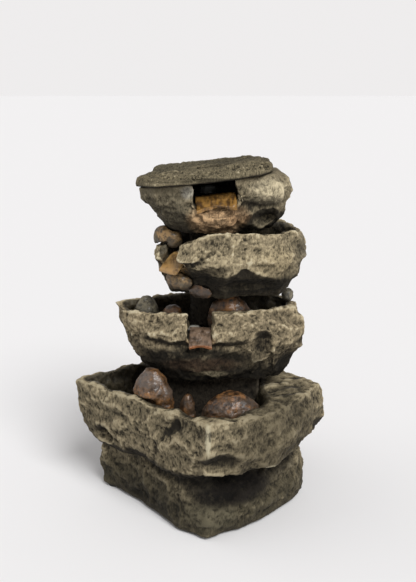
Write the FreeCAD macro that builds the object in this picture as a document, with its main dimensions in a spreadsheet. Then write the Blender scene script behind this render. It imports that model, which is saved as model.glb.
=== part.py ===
"""A tabletop water fountain: four tiers of cast rock, with river stones, a submersible pump and lights.

Frame: +Z up, origin on the ground under the middle of the basin, -Y towards the front corner of the
basin, where the spillways face, and +Y towards the flat rear with its sliding panel. Millimetres.

From the ground up: a rock basin with a shallow pool and a pump well, a pedestal round the well, and three
rock bowls that stand on each other through hollow necks. One riser tube runs straight up through the necks
from the pump to the top bowl, under a loose cap slab. Each bowl spills over a sloped lip into the next.
"""
import FreeCAD, Part
import math
import os
import re

import Sketcher

doc = FreeCAD.newDocument("Fountain")
Vector = FreeCAD.Vector

# --------------------------------------------------------------------------------------------------------
# Driving dimensions
# --------------------------------------------------------------------------------------------------------
SIZES = {
    # how far a cutting tool runs past what it cuts
    "overcut": 5,
    # basin: a block with a foot below it
    "basin_width": 214, "basin_depth": 184, "basin_height": 98, "foot_height": 37, "rim_width": 11,
    "pool_depth": 32, "pool_draft": 6, "base_recess": 11, "base_rim": 15,
    "pad_height": 1.5, "pad_radius": 5.5,
    # pump well, pedestal round it, and the panel that slides up behind it
    "riser_x": 7, "riser_y": 12,
    "well_width": 68, "well_front": 24, "well_back": 34, "well_depth": 44,
    "pedestal_wall": 8, "pedestal_height": 39, "pedestal_inset": 5, "pedestal_back": 49,
    "drain_width": 8, "drain_height": 9, "drain_spacing": 22,
    "panel_thick": 6, "panel_rise": 52, "groove_depth": 3, "groove_back": 2, "slide_gap": 0.3,
    "cord_gap_width": 10, "cord_gap_height": 14, "grip_radius": 9, "grip_lift": 3,
    # lower bowl
    "lower_x": 10, "lower_y": 6.5, "lower_width": 158, "lower_depth": 89, "lower_height": 60,
    "lower_floor": 33, "lower_wall": 9, "floor_draft": 3,
    # middle bowl
    "middle_x": 25, "middle_y": -2.5, "middle_width": 122, "middle_depth": 95, "middle_height": 53,
    "middle_floor": 23, "middle_wall": 9,
    # upper bowl and the tilted slab on it
    "upper_x": 13, "upper_y": 1, "upper_width": 120, "upper_depth": 78, "upper_height": 40,
    "upper_floor": 17, "upper_wall": 8, "cap_tilt": 6.4,
    "cap_x": 4, "cap_y": -6.5, "cap_width": 106, "cap_depth": 73, "cap_thick": 8, "cap_layer": 3.5,
    "cap_gap": 0.2, "cap_step": 0.6,
    # necks
    "neck_wall": 4.5, "lead_gap": 1.2, "passage_gap": 0.9, "lower_neck_height": 37, "middle_neck_height": 28,
    "collar_height": 11, "collar_wall": 3,
    # spill lips
    "lip_thick": 3, "lip_run": 14, "lip_drop": 10.5, "lip_tail": 7,
    "lower_lip_inset": 6.5, "middle_lip_inset": 12, "upper_lip_inset": 9.5,
    "lip_height": 12, "upper_lip_height": 13, "notch_reach": 12,
    "lower_lip_width": 18, "middle_lip_width": 19, "upper_lip_width": 31,
    # riser tube and pump nozzle
    "tube_radius": 6, "tube_bore": 4.5, "tube_end": 4, "nozzle_radius": 4.4, "nozzle_bore": 3.2,
    "nozzle_height": 10, "nozzle_root": 3,
    # pump: a square body, its axis along X, the intake towards -X
    "pump_size": 32, "pump_wall": 2, "corner_rim": 2, "pump_foot_height": 4, "pump_foot_radius": 4,
    "foot_rim": 1, "foot_inset_intake": 4.5, "foot_inset_motor": 5.5, "foot_inset_side": 7,
    "volute_length": 15, "volute_front": 4, "volute_reach": 4, "chamber_radius": 11, "motor_length": 24,
    "intake_radius": 1.8, "intake_circle": 6.4,
    "rotor_radius": 7.5, "rotor_gap": 0.8, "rotor_cup_wall": 1.5, "rotor_length": 17, "rotor_end_gap": 0.3,
    "cup_spare": 3,
    "shaft_radius": 1.25, "shaft_gap": 0.06, "bush_radius": 3, "bush_length": 2.4,
    "impeller_radius": 9.5, "impeller_length": 7, "vane_thick": 1.4, "vane_relief": 0.5,
    "vane_inset": 0.2, "hub_radius": 3.4, "plate_thick": 1.2, "plate_setback": 1.5,
    "strainer_length": 11, "strainer_wall": 1.6, "slot_width": 2.2, "slot_margin": 5,
    "dial_radius": 9, "dial_thick": 2, "dial_stub": 2, "dial_flange": 3.2, "dial_flange_thick": 1,
    "window_start": 4, "window_height": 6,
    "dial_grip_rise": 1.6, "dial_grip_root": 0.2, "dial_grip_width": 2, "dial_grip_length": 12,
    "gland_along": 19, "gland_inset": 3, "gland_radius": 2.6, "gland_rim": 1.5, "gland_height": 4,
    "gland_neck": 0.6,
    # lights and leads
    "light_radius": 7, "light_height": 9, "lens_radius": 5.4, "lens_rise": 2.6,
    "board_drop": 3, "board_thick": 1.2, "lens_shoulder": 0.72, "lens_shoulder_rise": 0.7,
    "lead_radius": 1.2, "lead_height": 4, "lead_hole": 3.2, "lead_set_down": 2, "lead_entry_run": 6,
    "splitter_length": 36, "splitter_depth": 10, "splitter_height": 14, "splitter_start": 14,
    "splitter_lift": 4, "cord_radius": 2.6, "socket_along": 16, "socket_height": 7, "socket_depth": 5,
    # cord grommet in the rear wall
    "grommet_x": 27, "grommet_drop": 14, "grommet_radius": 5, "grommet_flange": 8, "flange_thick": 2,
    "grommet_play": 0.1, "seat_play": 0.2, "inner_flange_step": 1,
    "cord_slack": 0.8, "nose_wall": 1.8, "nose_length": 6,
}

sheet = doc.addObject("Spreadsheet::Sheet", "Sizes")
for row, (alias, value) in enumerate(SIZES.items(), start=1):
    sheet.set(f"A{row}", alias)
    sheet.set(f"B{row}", str(value))
    sheet.setAlias(f"B{row}", alias)
doc.recompute()

# Heights and places that follow from the driving dimensions, as expressions on the cells
DERIVED = {
    "pool_floor": "basin_height - pool_depth",
    "well_floor": "basin_height - pool_depth - well_depth",
    "lower_base": "pool_floor + pedestal_height",
    "lower_rim": "lower_base + lower_height",
    "lower_pool": "lower_base + lower_floor",
    "middle_base": "lower_pool + lower_neck_height",
    "middle_rim": "middle_base + middle_height",
    "middle_pool": "middle_base + middle_floor",
    "upper_base": "middle_pool + middle_neck_height",
    "upper_rim": "upper_base + upper_height",
    "upper_pool": "upper_base + upper_floor",
    "well_left": "riser_x - well_width / 2",
    "well_right": "riser_x + well_width / 2",
    "pump_bottom": "well_floor + pump_foot_height",
    "pump_axis": "pump_bottom + pump_size / 2",
    "pump_top": "pump_bottom + pump_size",
    "volute_left": "riser_x - volute_front - volute_reach",
    "volute_right": "volute_left + volute_length",
    "motor_right": "volute_right + motor_length",
    "passage_radius": "tube_radius + lead_gap + 2 * lead_radius + passage_gap",
    "neck_radius": "passage_radius + neck_wall",
    "splitter_front": "riser_y - well_front + pedestal_inset",
    "rear_face": "basin_depth / 2",
}


def expression(text):
    """The text with derived names spelled out and every cell named through the sheet."""
    def spell(match):
        word = match.group(0)
        if word in DERIVED:
            return "(" + expression(DERIVED[word]) + ")"
        return "Sizes." + word if word in SIZES else word
    return re.sub(r"[a-z][a-z_]*[a-z]", spell, text)


def size(text):
    """The number that an expression on the cells gives."""
    def spell(match):
        word = match.group(0)
        if word in DERIVED:
            return "(" + str(size(DERIVED[word])) + ")"
        return str(float(sheet.get(word))) if word in SIZES else word
    terms = re.sub(r"[a-z][a-z_]*[a-z]", spell, text)
    return float(FreeCAD.Units.Quantity("1 * (" + terms + ")"))


# --------------------------------------------------------------------------------------------------------
# Builders for machined and moulded pieces: every size is bound to the sheet
# --------------------------------------------------------------------------------------------------------
ALONG = {"x": FreeCAD.Rotation(Vector(0, 1, 0), 90), "y": FreeCAD.Rotation(Vector(1, 0, 0), -90),
         "z": FreeCAD.Rotation()}
NODES = []


def bind(obj, **expressions):
    for name, text in expressions.items():
        obj.setExpression(name.replace("__", "."), expression(str(text)))


def place(obj, at, along="z"):
    obj.Placement = FreeCAD.Placement(Vector(), ALONG[along])
    bind(obj, Placement__Base__x=at[0], Placement__Base__y=at[1], Placement__Base__z=at[2])


def box(low, high):
    """A box between two corners, each given as three expressions."""
    made = doc.addObject("Part::Box", "Box")
    lengths = [f"({b}) - ({a})" for a, b in zip(low, high)]
    bind(made, Length=lengths[0], Width=lengths[1], Height=lengths[2])
    place(made, low)
    return made


def cylinder(radius, length, at, along="z"):
    made = doc.addObject("Part::Cylinder", "Cylinder")
    bind(made, Radius=radius, Height=length)
    place(made, at, along)
    return made


def joined(*pieces):
    made = doc.addObject("Part::MultiFuse", "Fuse")
    made.Shapes = list(pieces)
    return made


def without(base, *tools):
    made = doc.addObject("Part::Cut", "Cut")
    made.Base = base
    made.Tool = tools[0] if len(tools) == 1 else joined(*tools)
    return made


def rounded(base, radius, pick):
    """The edges of a piece that pick() chooses, filleted."""
    doc.recompute()
    made = doc.addObject("Part::Fillet", "Fillet")
    made.Base = base
    made.Edges = [(n, radius, radius) for n, edge in enumerate(base.Shape.Edges, start=1) if pick(edge)]
    return made


def node(obj, name):
    obj.Label = name
    NODES.append(obj)
    return obj


def group(name, pieces):
    """Several separate solids in one node."""
    made = doc.addObject("Part::Compound", "Group")
    made.Links = list(pieces)
    return node(made, name)


def outline_sketch(body, corners, plane):
    """A closed sketch on one of the body's planes, each corner held by two bound distances."""
    sketch = body.newObject("Sketcher::SketchObject", "Profile")
    sketch.AttachmentSupport = [(p, "") for p in body.Origin.OriginFeatures if p.Role == plane]
    sketch.MapMode = "FlatFace"
    points = [Vector(size(u), size(v), 0) for u, v in corners]
    for start, end in zip(points, points[1:] + points[:1]):
        sketch.addGeometry(Part.LineSegment(start, end), False)
    count = len(points)
    for n in range(count):
        sketch.addConstraint(Sketcher.Constraint("Coincident", n, 2, (n + 1) % count, 1))
    for n, (point, texts) in enumerate(zip(points, corners)):
        for kind, value, text, axis in (("DistanceX", point.x, texts[0], -2),
                                        ("DistanceY", point.y, texts[1], -1)):
            if abs(value) < 1e-9:
                sketch.addConstraint(Sketcher.Constraint("PointOnObject", n, 1, axis))
                continue
            made = sketch.addConstraint(Sketcher.Constraint(kind, -1, 1, n, 1, value))
            sketch.renameConstraint(made, f"{kind}{n}")
            sketch.setExpression(f"Constraints.{kind}{n}", expression(text))
    return sketch


def turned(profile, at, along="z"):
    """A body turned about its own axis from (radius, height) corners."""
    body = doc.addObject("PartDesign::Body", "Body")
    sketch = outline_sketch(body, profile, "XZ_Plane")
    turn = body.newObject("PartDesign::Revolution", "Revolution")
    turn.Profile = sketch
    turn.ReferenceAxis = (sketch, ["V_Axis"])
    turn.Angle = 360
    body.Tip = turn
    place(body, at, along)
    return body


def padded(outline, thick, at, along="z"):
    """A body padded from a flat outline."""
    body = doc.addObject("PartDesign::Body", "Body")
    sketch = outline_sketch(body, outline, "XY_Plane")
    pad = body.newObject("PartDesign::Pad", "Pad")
    pad.Profile = sketch
    bind(pad, Length=thick)
    body.Tip = pad
    place(body, at, along)
    return body


# --------------------------------------------------------------------------------------------------------
# Builders for cast rock: flat facets between rings of corners
# --------------------------------------------------------------------------------------------------------
def triangle(a, b, c):
    return Part.Face(Part.makePolygon([a, b, c, a]))


def cap(ring):
    """The flat face that closes a ring, or a fan of triangles where the ring isn't flat."""
    plane_normal = (ring[1] - ring[0]).cross(ring[2] - ring[0]).normalize()
    if all(abs((p - ring[0]).dot(plane_normal)) < 1e-7 for p in ring):
        return [Part.Face(Part.makePolygon(ring + ring[:1]))]
    middle = sum(ring, Vector()) * (1 / len(ring))
    return [triangle(a, b, middle) for a, b in zip(ring, ring[1:] + ring[:1])]


def facets(rings):
    """A closed solid of flat facets through rings that have the same number of corners."""
    faces = cap(rings[0]) + cap(rings[-1])
    for lower, upper in zip(rings, rings[1:]):
        for n in range(len(lower)):
            a, b, c, d = lower[n], lower[n - 1], upper[n - 1], upper[n]
            faces += [triangle(a, b, c), triangle(a, c, d)]
    solid = Part.Solid(Part.Shell(faces))
    if solid.Volume < 0:
        solid.reverse()
    return solid


def ring(plan, shares, heights):
    """Corners of a plan outline, each drawn in to its share of the way out from the plan's middle."""
    middle, corners = plan
    shares = shares if isinstance(shares, (list, tuple)) else [shares] * len(corners)
    heights = heights if isinstance(heights, (list, tuple)) else [heights] * len(corners)
    return [Vector(middle.x + (p.x - middle.x) * s, middle.y + (p.y - middle.y) * s, z)
            for p, s, z in zip(corners, shares, heights)]


def plan_of(x, y, width, depth, percents):
    """A plan outline: its middle, and its corners in percent of the half width and half depth."""
    middle = Vector(size(x), size(y), 0)
    half_width, half_depth = size(width) / 200, size(depth) / 200
    return middle, [Vector(middle.x + u * half_width, middle.y + v * half_depth, 0) for u, v in percents]


def drawn_in(points, middle, distance):
    """A ring moved towards the middle by a distance."""
    moved = []
    for p in points:
        out = Vector(p.x - middle.x, p.y - middle.y, 0)
        keep = max(0.1, 1 - distance / out.Length)
        moved.append(Vector(middle.x + out.x * keep, middle.y + out.y * keep, p.z))
    return moved


def raised(points, height):
    return [Vector(p.x, p.y, height) for p in points]


def rock(solid, name=None):
    """A faceted solid as a document object."""
    made = doc.addObject("Part::Feature", "Rock")
    made.Shape = solid
    return node(made, name) if name else made


def between(low, high, share):
    return low + (high - low) * share


# --------------------------------------------------------------------------------------------------------
# Basin
# --------------------------------------------------------------------------------------------------------
BASIN_PLAN = [(-100, 3), (-55, -38), (-13, -80), (6, -100), (31, -89), (55, -72), (81, -30), (94, -5),
              (72, 25), (63, 55), (50, 100), (-44, 100), (-53, 50), (-73, 32)]
POOL_PLAN = [(-99, 4), (-54, -36), (-12.5, -76.5), (6, -94), (27, -89), (46, -69), (58, -42), (62.5, -10),
             (63.5, 28), (60, 58), (50, 100), (-42, 100), (-49, 54), (-70, 34)]


def basin_block():
    plan = plan_of("0", "0", "basin_width", "basin_depth", BASIN_PLAN)
    ground, foot, top = size("pad_height"), size("foot_height"), size("basin_height")
    edge = [foot + lift for lift in (6, 8, 12, 14, 15, 15, 13, 13, 12, 12, 12, 12, 10, 8)]
    undercut = [foot + lift for lift in (3, 4, 5, 6, 7, 7, 6, 6, 6, 6, 6, 6, 5, 4)]
    return facets([
        ring(plan, [.75, .86, 1.02, .91, .90, .88, .93, .89, .88, .86, .93, .93, .86, .84], ground),
        ring(plan, [.81, .89, 1.04, .94, .94, .91, .95, .91, .90, .88, .96, .96, .88, .87], foot * .45),
        ring(plan, [.79, .87, .98, .88, .87, .86, .91, .88, .88, .87, .95, .95, .86, .85], foot * .9),
        ring(plan, [.78, .84, .90, .77, .75, .77, .86, .85, .86, .86, .94, .94, .84, .83], undercut),
        ring(plan, [.86, .98, 1.01, .92, .99, 1.0, .98, .95, .95, .94, .98, .98, .95, .92], edge),
        ring(plan, [.97, 1.03, 1.04, 1.0, 1.03, 1.04, 1.05, 1.063, 1.03, 1.01, 1.0, 1.0, 1.02, 1.0],
             between(foot, top, .50)),
        ring(plan, [.985, 1.02, 1.03, 1.0, 1.02, 1.03, 1.03, 1.04, 1.02, 1.01, 1.0, 1.0, 1.02, 1.01],
             between(foot, top, .78)),
        ring(plan, 1, top),
    ])


def basin_pool():
    inner = [f"{name} - 2 * rim_width" for name in ("basin_width", "basin_depth")]
    plan = plan_of("0", "0", *inner, POOL_PLAN)
    rim = ring(plan, 1, size("basin_height"))
    floor = drawn_in(raised(rim, size("pool_floor")), plan[0], size("pool_draft"))
    back = size(inner[1]) / 2
    floor = [Vector(p.x, back if abs(r.y - back) < 1e-6 else p.y, p.z) for p, r in zip(floor, rim)]
    return facets([floor, rim, raised(rim, size("basin_height + overcut"))])


def base_hollow():
    plan = plan_of("0", "0", "basin_width", "basin_depth", BASIN_PLAN)
    outline = drawn_in(ring(plan, .84, size("pad_height - overcut")), plan[0], size("base_rim"))
    return facets([outline, raised(outline, size("pad_height + base_recess"))])


def grommet_seat():
    """The hole for the cord grommet and the shallow seat for its outer flange."""
    height = "basin_height - grommet_drop"
    through = cylinder("grommet_radius + grommet_play", "rim_width + 2 * overcut",
                       ("grommet_x", "rear_face - rim_width - overcut", height), "y")
    seat = cylinder("grommet_flange + seat_play", "flange_thick + overcut",
                    ("grommet_x", "rear_face - flange_thick", height), "y")
    return [through, seat]


well = box(("well_left", "riser_y - well_front", "well_floor"),
           ("well_right", "riser_y + well_back", "pool_floor + overcut"))
basin = node(without(rock(basin_block()), rock(basin_pool()), rock(base_hollow()), well, *grommet_seat()),
             "basin")

PAD_PLACES = [(-69, 2), (5, -81), (77, -4), (4, 84)]  # in percent of the basin's half sizes
group("foot_pads", [cylinder("pad_radius", "pad_height",
                             (f"basin_width / 200 * {u}", f"basin_depth / 200 * {v}", "0"))
                    for u, v in PAD_PLACES])

height_of_grommet = "basin_height - grommet_drop"
inner_flange, nose_start = "rim_width + flange_thick", "rim_width + flange_thick / 2"
grommet = turned([("cord_radius + cord_slack", "0"), ("grommet_flange", "0"),
                  ("grommet_flange", "flange_thick"), ("grommet_radius", "flange_thick"),
                  ("grommet_radius", "rim_width"), ("grommet_flange - inner_flange_step", "rim_width"),
                  ("grommet_flange - inner_flange_step", inner_flange),
                  ("cord_radius + nose_wall", inner_flange),
                  ("cord_radius + nose_wall", f"{inner_flange} + nose_length"),
                  ("cord_radius", f"{inner_flange} + nose_length"), ("cord_radius", nose_start),
                  ("cord_radius + cord_slack", nose_start)],
                 ("grommet_x", "rear_face", height_of_grommet))
grommet.Placement = FreeCAD.Placement(grommet.Placement.Base, FreeCAD.Rotation(Vector(1, 0, 0), 90))
node(grommet, "cord_grommet")

# --------------------------------------------------------------------------------------------------------
# Pedestal round the pump well, open at the back, and the panel that slides up in its grooves
# --------------------------------------------------------------------------------------------------------
front, back = "riser_y - well_front + pedestal_inset", "riser_y + pedestal_back"
groove_front = f"{back} - panel_thick - groove_back - 2 * slide_gap"
groove_rear = f"{groove_front} + panel_thick + 2 * slide_gap"
drains = [box((f"riser_x + drain_spacing * {step} - drain_width / 2",
               f"{front} - pedestal_wall - overcut", "pool_floor - overcut"),
              (f"riser_x + drain_spacing * {step} + drain_width / 2",
               f"{front} + overcut", "pool_floor + drain_height")) for step in (-1, 0, 1)]
pedestal = node(without(
    box(("well_left - pedestal_wall", f"{front} - pedestal_wall", "pool_floor"),
        ("well_right + pedestal_wall", back, "lower_base")),
    box(("well_left", front, "pool_floor - overcut"),
        ("well_right", f"{back} + overcut", "lower_base + overcut")),
    box(("well_left - groove_depth", groove_front, "pool_floor - overcut"),
        ("well_right + groove_depth", groove_rear, "lower_base + overcut")),
    *drains), "pedestal")

panel_low = ("well_left - groove_depth + slide_gap", f"{groove_front} + slide_gap", "pool_floor + slide_gap")
panel_high = ("well_right + groove_depth - slide_gap", f"{groove_front} + slide_gap + panel_thick",
              "pool_floor + slide_gap + panel_rise")
cord_gap = box(("grommet_x - cord_gap_width / 2", f"{groove_front} - overcut", "pool_floor - overcut"),
               ("grommet_x + cord_gap_width / 2", f"{groove_rear} + overcut",
                "pool_floor + cord_gap_height"))
grip = cylinder("grip_radius", "panel_thick + 2 * overcut",
                ("riser_x", f"{groove_front} - overcut", "pool_floor + slide_gap + panel_rise + grip_lift"),
                "y")
node(without(box(panel_low, panel_high), cord_gap, grip), "rear_panel")


# --------------------------------------------------------------------------------------------------------
# Spill lips: a sloped plate in a notch of the bowl's wall
# --------------------------------------------------------------------------------------------------------
def lip_profile(extra_out=0.0):
    """Corners (outwards, up) of the lip's plate, its crest at the zero point."""
    thick, run, drop, tail = size("lip_thick"), size("lip_run"), size("lip_drop"), size("lip_tail")
    slope = drop / run
    out = run + extra_out
    return [(-tail, 0), (0, 0), (out, -slope * out), (out, -slope * out - thick), (0, -thick),
            (-tail, -thick)]


def swept_across(corners, width, placement):
    points = [Vector(u, -width / 2, v) for u, v in corners]
    face = Part.Face(Part.makePolygon(points + points[:1]))
    solid = face.extrude(Vector(0, width, 0))
    solid.Placement = placement
    return solid


def lip_and_notch(crest, facing, width, rise, roll=0.0):
    """The lip's plate, and the notch that holds it, at a crest point, facing an angle in plan."""
    turn = FreeCAD.Rotation(Vector(0, 0, 1), facing).multiply(FreeCAD.Rotation(Vector(1, 0, 0), roll))
    placement = FreeCAD.Placement(crest, turn)
    plate = swept_across(lip_profile(), width, placement)
    sole = lip_profile(extra_out=size("notch_reach"))
    notch = swept_across([(sole[0][0], rise), (sole[2][0], rise)] + sole[3:], width, placement)
    return plate, notch


def crest_at(plan, corner, inset, height):
    """The crest in the middle of a rim's edge, set in from it, and the angle that the edge faces."""
    middle, corners = plan
    start, end = corners[corner], corners[corner + 1]
    along = (end - start).normalize()
    outward = Vector(along.y, -along.x, 0)
    crest = (start + end) * .5 - outward * size(inset)
    crest.z = size(height)
    return crest, math.degrees(math.atan2(outward.y, outward.x))


LOWER_PLAN = plan_of("lower_x", "lower_y", "lower_width", "lower_depth", [
    (-100, -10), (-92, -55), (-58, -84), (-25, -91), (2.5, -91), (43, -84), (61, -60), (85, -42), (91, 12),
    (63, 80), (2.5, 98), (-54, 48)])
MIDDLE_PLAN = plan_of("middle_x", "middle_y", "middle_width", "middle_depth", [
    (-97, -12), (-95, -45), (-62, -83), (-18, -89), (28, -85), (62, -75), (89, -45), (95, 9), (69, 77),
    (-5, 99), (-71, 76)])
UPPER_PLAN = plan_of("upper_x", "upper_y", "upper_width", "upper_depth", [
    (-100, -36), (-77, -79), (-28, -96), (26, -96), (77, -71), (97, -25), (90, 49), (40, 99), (-27, 95),
    (-84, 50)])
CAP_PLAN = plan_of("cap_x", "cap_y", "cap_width", "cap_depth", [
    (-100, -20), (-70, -81), (-7.5, -100), (49, -97), (83, -75), (100, -31), (98, 40), (57, 94), (-15, 100),
    (-75, 56)])

NOTCH_RISE = 30
lower_crest, lower_facing = crest_at(LOWER_PLAN, 3, "lower_lip_inset", "lower_pool + lip_height")
middle_crest, middle_facing = crest_at(MIDDLE_PLAN, 1, "middle_lip_inset", "middle_pool + lip_height")
upper_crest, upper_facing = crest_at(UPPER_PLAN, 2, "upper_lip_inset", "upper_pool + upper_lip_height")

lower_lip, lower_notch = lip_and_notch(lower_crest, lower_facing, size("lower_lip_width"), NOTCH_RISE)
middle_lip, middle_notch = lip_and_notch(middle_crest, middle_facing, size("middle_lip_width"), NOTCH_RISE)
upper_lip, upper_notch = lip_and_notch(upper_crest, upper_facing, size("upper_lip_width"), NOTCH_RISE,
                                       roll=size("cap_tilt"))

# --------------------------------------------------------------------------------------------------------
# Bowls
# --------------------------------------------------------------------------------------------------------
def hollow(rim, middle, wall, floor, above):
    """The pool inside a bowl: its walls a constant width, drawn in a little at the floor."""
    inner = drawn_in(rim, middle, wall)
    return facets([drawn_in(raised(inner, floor), middle, size("floor_draft")), inner,
                   [Vector(p.x, p.y, p.z + above) for p in inner]])


def passage(low, high):
    """The way up for the tube and leads through a bowl's floor."""
    return cylinder("passage_radius", f"({high}) - ({low}) + 2 * overcut",
                    ("riser_x", "riser_y", f"({low}) - overcut"))


def lower_bowl():
    plan = LOWER_PLAN
    low, high = size("lower_base"), size("lower_rim")
    rim = ring(plan, 1, high)
    block = facets([
        ring(plan, [.57, .64, .70, .82, .85, .83, .95, .82, .77, .85, .92, .78], low),
        ring(plan, [.73, .85, .93, 1.0, 1.0, 1.0, 1.15, 1.05, .95, .95, .96, .93], between(low, high, .32)),
        ring(plan, [.87, .93, 1.04, 1.09, 1.09, 1.12, 1.27, 1.13, 1.04, 1.0, 1.0, .98],
             between(low, high, .58)),
        ring(plan, [.95, .98, 1.05, 1.09, 1.09, 1.12, 1.24, 1.10, 1.05, 1.0, 1.0, 1.0],
             between(low, high, .75)),
        rim,
    ])
    return block, hollow(rim, plan[0], size("lower_wall"), size("lower_pool"), 5)


def middle_bowl():
    plan = MIDDLE_PLAN
    low, high = size("middle_base"), size("middle_rim")
    rim = ring(plan, 1, [high + lift for lift in (-12, -11, -6, -1, 2, 3, 1, 0, 0, -2, -6)])
    block = facets([
        ring(plan, [.80, .66, .56, .66, .66, .68, .72, .74, .74, .80, .76], low),
        ring(plan, [.95, .80, .76, .98, 1.02, 1.0, .96, .95, .93, .94, .94], between(low, high, .32)),
        ring(plan, [1.03, 1.03, 1.06, 1.12, 1.12, 1.10, 1.06, 1.05, 1.03, 1.0, 1.02],
             between(low, high, .60)),
        rim,
    ])
    return block, hollow(rim, plan[0], size("middle_wall"), size("middle_pool"), 12)


def tilted(points, height):
    """A ring laid on the tilted plane of the cap slab's bed, that many millimetres above it."""
    slope = math.tan(math.radians(size("cap_tilt")))
    bed = size("upper_rim")
    return [Vector(p.x, p.y, bed + height + (p.x - size("riser_x")) * slope) for p in points]


def upper_bowl():
    plan = UPPER_PLAN
    low = size("upper_base")
    seat = tilted(ring(plan, [1, 1, 1, 1, .92, .84, .86, .95, .97, 1], 0), 0)
    block = facets([
        ring(plan, [.62, .68, .74, .76, .76, .78, .78, .78, .78, .68], low),
        ring(plan, [.80, .87, .95, .97, .96, .95, .93, .92, .92, .84], between(low, size("upper_rim"), .36)),
        tilted(ring(plan, [.94, .97, 1.01, 1.03, 1.03, 1.03, 1.02, 1.0, 1.0, .96], 0),
               -.36 * size("upper_height")),
        tilted(ring(plan, [.99, 1, 1, 1, 1, 1, 1, 1, 1, 1], 0), -.18 * size("upper_height")),
        seat,
    ])
    return block, hollow(seat, plan[0], size("upper_wall"), size("upper_pool"), 20)


def finish_bowl(name, shapes, notch, low, pool):
    block, pool_space = shapes
    return node(without(rock(block), rock(pool_space), rock(notch), passage(low, pool)), name)


lower = finish_bowl("lower_bowl", lower_bowl(), lower_notch, "lower_base", "lower_pool")
middle = finish_bowl("middle_bowl", middle_bowl(), middle_notch, "middle_base", "middle_pool")
upper = finish_bowl("upper_bowl", upper_bowl(), upper_notch, "upper_base", "upper_pool")
rock(lower_lip, "lower_spill_lip")
rock(middle_lip, "middle_spill_lip")
rock(upper_lip, "upper_spill_lip")


def cap_slab():
    plan = CAP_PLAN
    gap, thick, layer, step = size("cap_gap"), size("cap_thick"), size("cap_layer"), size("cap_step")
    back_corners = [.90, .80, .82, .80, .84, .86, .97, .98, .98, .97]
    return facets([
        tilted(ring(plan, .985, 0), gap),
        tilted(ring(plan, 1, 0), gap + thick * .4),
        tilted(ring(plan, .97, 0), gap + thick),
        tilted(ring(plan, back_corners, 0), gap + thick + step),
        tilted(ring(plan, [s * .93 for s in back_corners], 0), gap + thick + layer),
    ])


rock(cap_slab(), "cap_slab")


# --------------------------------------------------------------------------------------------------------
# Necks between the bowls, and the collar in the top one: hollow for the tube and the leads
# --------------------------------------------------------------------------------------------------------
def neck(name, low, height, radius, light_angle):
    """A hollow column of twelve facets, with a small hole where a light's lead goes in."""
    corners = [Vector(size("riser_x") + size(radius) * math.cos(math.radians(30 * n)),
                      size("riser_y") + size(radius) * math.sin(math.radians(30 * n)), 0) for n in range(12)]
    column = facets([raised(corners, size(low)), raised(corners, size(f"{low} + {height}"))])
    lead_hole = cylinder("lead_hole", "neck_radius + overcut",
                         ("riser_x", "riser_y", f"{low} + lead_height"), "x")
    about = FreeCAD.Rotation(Vector(0, 0, 1), light_angle).multiply(ALONG["x"])
    lead_hole.Placement = FreeCAD.Placement(lead_hole.Placement.Base, about)
    return node(without(rock(column), passage(low, f"{low} + {height}"), lead_hole), name)


LIGHTS = {  # place in plan from the riser, and the pool it stands in
    "upper": (Vector(5, -26, 0), "upper_pool"),
    "middle": (Vector(-21, -20, 0), "middle_pool"),
    "lower": (Vector(-11, -26.5, 0), "lower_pool"),
}


def light_angle(name):
    away = LIGHTS[name][0]
    return math.degrees(math.atan2(away.y, away.x))


neck("lower_neck", "lower_pool", "lower_neck_height", "neck_radius", light_angle("lower"))
neck("middle_neck", "middle_pool", "middle_neck_height", "neck_radius", light_angle("middle"))
neck("upper_collar", "upper_pool", "collar_height", "passage_radius + collar_wall", light_angle("upper"))

# --------------------------------------------------------------------------------------------------------
# River stones
# --------------------------------------------------------------------------------------------------------
STONE_PLAN = [(100, -6), (76, 64), (8, 100), (-68, 74), (-100, 6), (-74, -68), (-6, -100), (66, -76)]
STONE_LEVELS = [(0, .58), (.16, .86), (.42, 1.0), (.68, .93), (.88, .66), (1, .34)]


def stone(at, width, depth, low, high, turn):
    """A rounded stone of flat facets, turned about its middle."""
    cos, sin = math.cos(math.radians(turn)), math.sin(math.radians(turn))
    rings = []
    for level, share in STONE_LEVELS:
        corners = []
        for u, v in STONE_PLAN:
            x, y = u * width / 200 * share, v * depth / 200 * share
            corners.append(Vector(at[0] + x * cos - y * sin, at[1] + x * sin + y * cos,
                                  between(low, high, level)))
        rings.append(corners)
    return facets(rings)


# Each stone: the tier it belongs to, its middle from that tier's middle (x, y), its width and depth, the
# heights that it spans, its turn in degrees, and the pieces that it is bonded against
STONES = {
    "basin_stone_left": ("pedestal", (-44, -30), (38, 31), ("pool_floor", "lower_base + 13"), -38,
                         (basin, pedestal)),
    "basin_stone_small": ("pedestal", (-16, -40), (15, 16), ("pool_floor", "lower_base - 4"), 15, ()),
    "basin_stone_right": ("pedestal", (18, -45), (50, 34), ("pool_floor", "lower_base - 1"), 8, (basin,)),
    "perch_stone_centre": ("lower", (14, -19.5), (38, 15), ("lower_pool", "middle_base - 0.5"), 4, ()),
    "perch_stone_flat": ("lower", (-32, -9.5), (21, 16), ("lower_pool", "lower_rim - 1"), -8, ()),
    "perch_stone_grey": ("lower", (-53, -5.5), (23, 13), ("lower_pool", "lower_rim + 5"), 16, ()),
    "perch_stone_end": ("lower", (62, -4.5), (11, 12), ("lower_rim", "middle_base + 1.5"), 20, ()),
    "tuck_stone_high": ("middle", (-40, -22.5), (26, 19), ("middle_base + 8", "middle_base + 23"), -35,
                        (middle,)),
    "tuck_stone_low": ("middle", (-22, -22.5), (28, 17), ("middle_base + 1", "middle_base + 19"), -10,
                       (middle, "tuck_stone_high")),
    "tan_stone": ("middle", (-49, -6.5), (27, 22), ("middle_rim - 16", "upper_base + 4"), -20,
                  (middle, upper)),
}
TIER_MIDDLES = {"pedestal": ("riser_x", "0"), "lower": ("lower_x", "lower_y"),
                "middle": ("middle_x", "middle_y")}

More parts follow.
